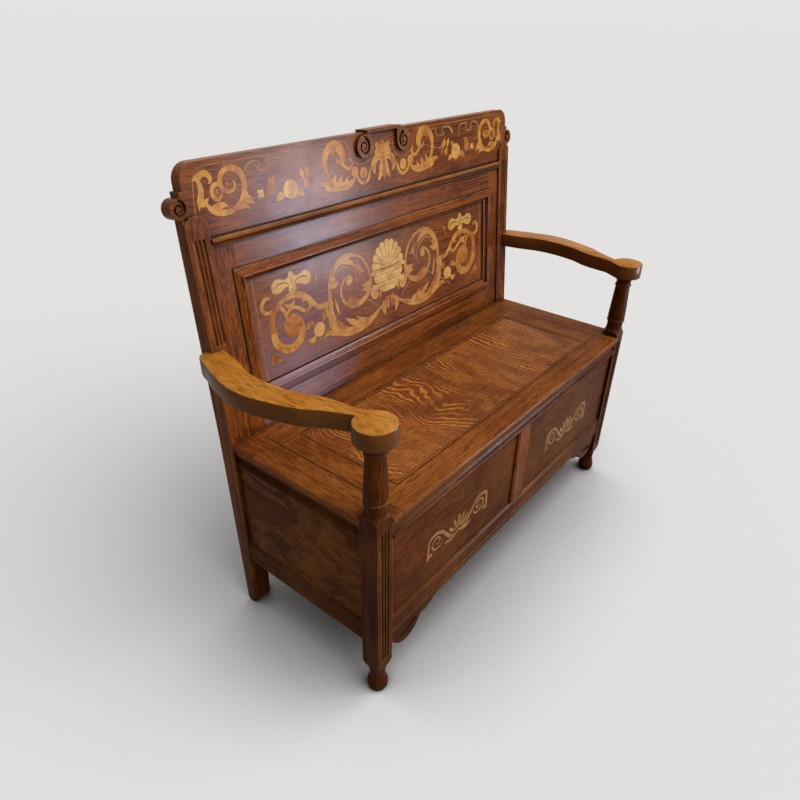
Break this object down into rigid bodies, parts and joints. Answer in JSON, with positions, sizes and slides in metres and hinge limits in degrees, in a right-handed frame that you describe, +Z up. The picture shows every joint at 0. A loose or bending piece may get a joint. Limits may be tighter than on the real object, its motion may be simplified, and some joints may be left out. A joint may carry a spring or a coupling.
{
  "type": "settle bench",
  "caption": "Oak settle bench: panelled box seat with a hinged lid, raked inlaid back under a scrolled crest board, bowed arms on turned front posts.",
  "frame": {"origin": "on the floor under the middle of the bench", "axes": "+X along the bench to the right seen from the front, +Y to the back, so the front faces -Y, +Z up"},
  "size_m": [1.214, 0.4978, 1.0344],
  "materials": {
    "dark_oak": "dark fumed oak, varnished",
    "frame_oak": "reddish brown oak, varnished",
    "inlaid_oak": "oak panel with boxwood and satinwood marquetry, varnished",
    "seat_oak": "quarter-sawn oak, waxed",
    "arm_oak": "worn golden oak, polished by hands",
    "inside_oak": "plain sawn oak, unfinished",
    "hinge_iron": "dark iron, lightly worn"
  },
  "bodies": {
    "carcass": {"front_post_left": "dark_oak", "front_post_right": "dark_oak", "rear_post_left": "dark_oak", "rear_post_right": "dark_oak", "arm_left": "arm_oak", "arm_right": "arm_oak", "seat_end_left": "seat_oak", "seat_end_right": "seat_oak", "seat_back_strip": "seat_oak", "front_top_rail": "dark_oak", "front_top_moulding": "frame_oak", "front_bottom_rail": "dark_oak", "front_muntin": "dark_oak", "front_panel_left": "inlaid_oak", "front_panel_right": "inlaid_oak", "bracket_left": "dark_oak", "bracket_right": "dark_oak", "side_top_rail_left": "dark_oak", "side_top_rail_right": "dark_oak", "side_bottom_rail_left": "dark_oak", "side_bottom_rail_right": "dark_oak", "side_panel_left": "dark_oak", "side_panel_right": "dark_oak", "box_back_top_rail": "dark_oak", "box_back_bottom_rail": "dark_oak", "box_back_panel": "dark_oak", "floor_bearer_front": "inside_oak", "floor_bearer_back": "inside_oak", "floor_board_1": "inside_oak", "floor_board_2": "inside_oak", "floor_board_3": "inside_oak", "floor_board_4": "inside_oak", "back_bottom_rail": "frame_oak", "back_top_rail": "frame_oak", "back_stile_left": "frame_oak", "back_stile_right": "frame_oak", "back_panel": "inlaid_oak", "panel_moulding_top": "frame_oak", "panel_moulding_bottom": "frame_oak", "panel_moulding_left": "frame_oak", "panel_moulding_right": "frame_oak", "crest_moulding": "frame_oak", "crest_board": "inlaid_oak", "cresting_cap": "frame_oak", "cresting_volute_left": "frame_oak", "cresting_volute_right": "frame_oak", "hinge_fixed_leaf_left": "hinge_iron", "hinge_fixed_leaf_right": "hinge_iron", "hinge_pin_left": "hinge_iron", "hinge_pin_right": "hinge_iron"},
    "lid": {"lid_front_rail": "seat_oak", "lid_back_rail": "seat_oak", "lid_stile_left": "seat_oak", "lid_stile_right": "seat_oak", "lid_panel": "seat_oak", "hinge_lid_leaf_left": "hinge_iron", "hinge_lid_leaf_right": "hinge_iron"}
  },
  "joints": [
    {"name": "lid_hinge", "type": "hinge", "parent": "carcass", "child": "lid", "pos_m": [0, 0.15005, 0.48], "axis": [-1, 0, 0], "range_deg": [0, 97.8]}
  ]
}
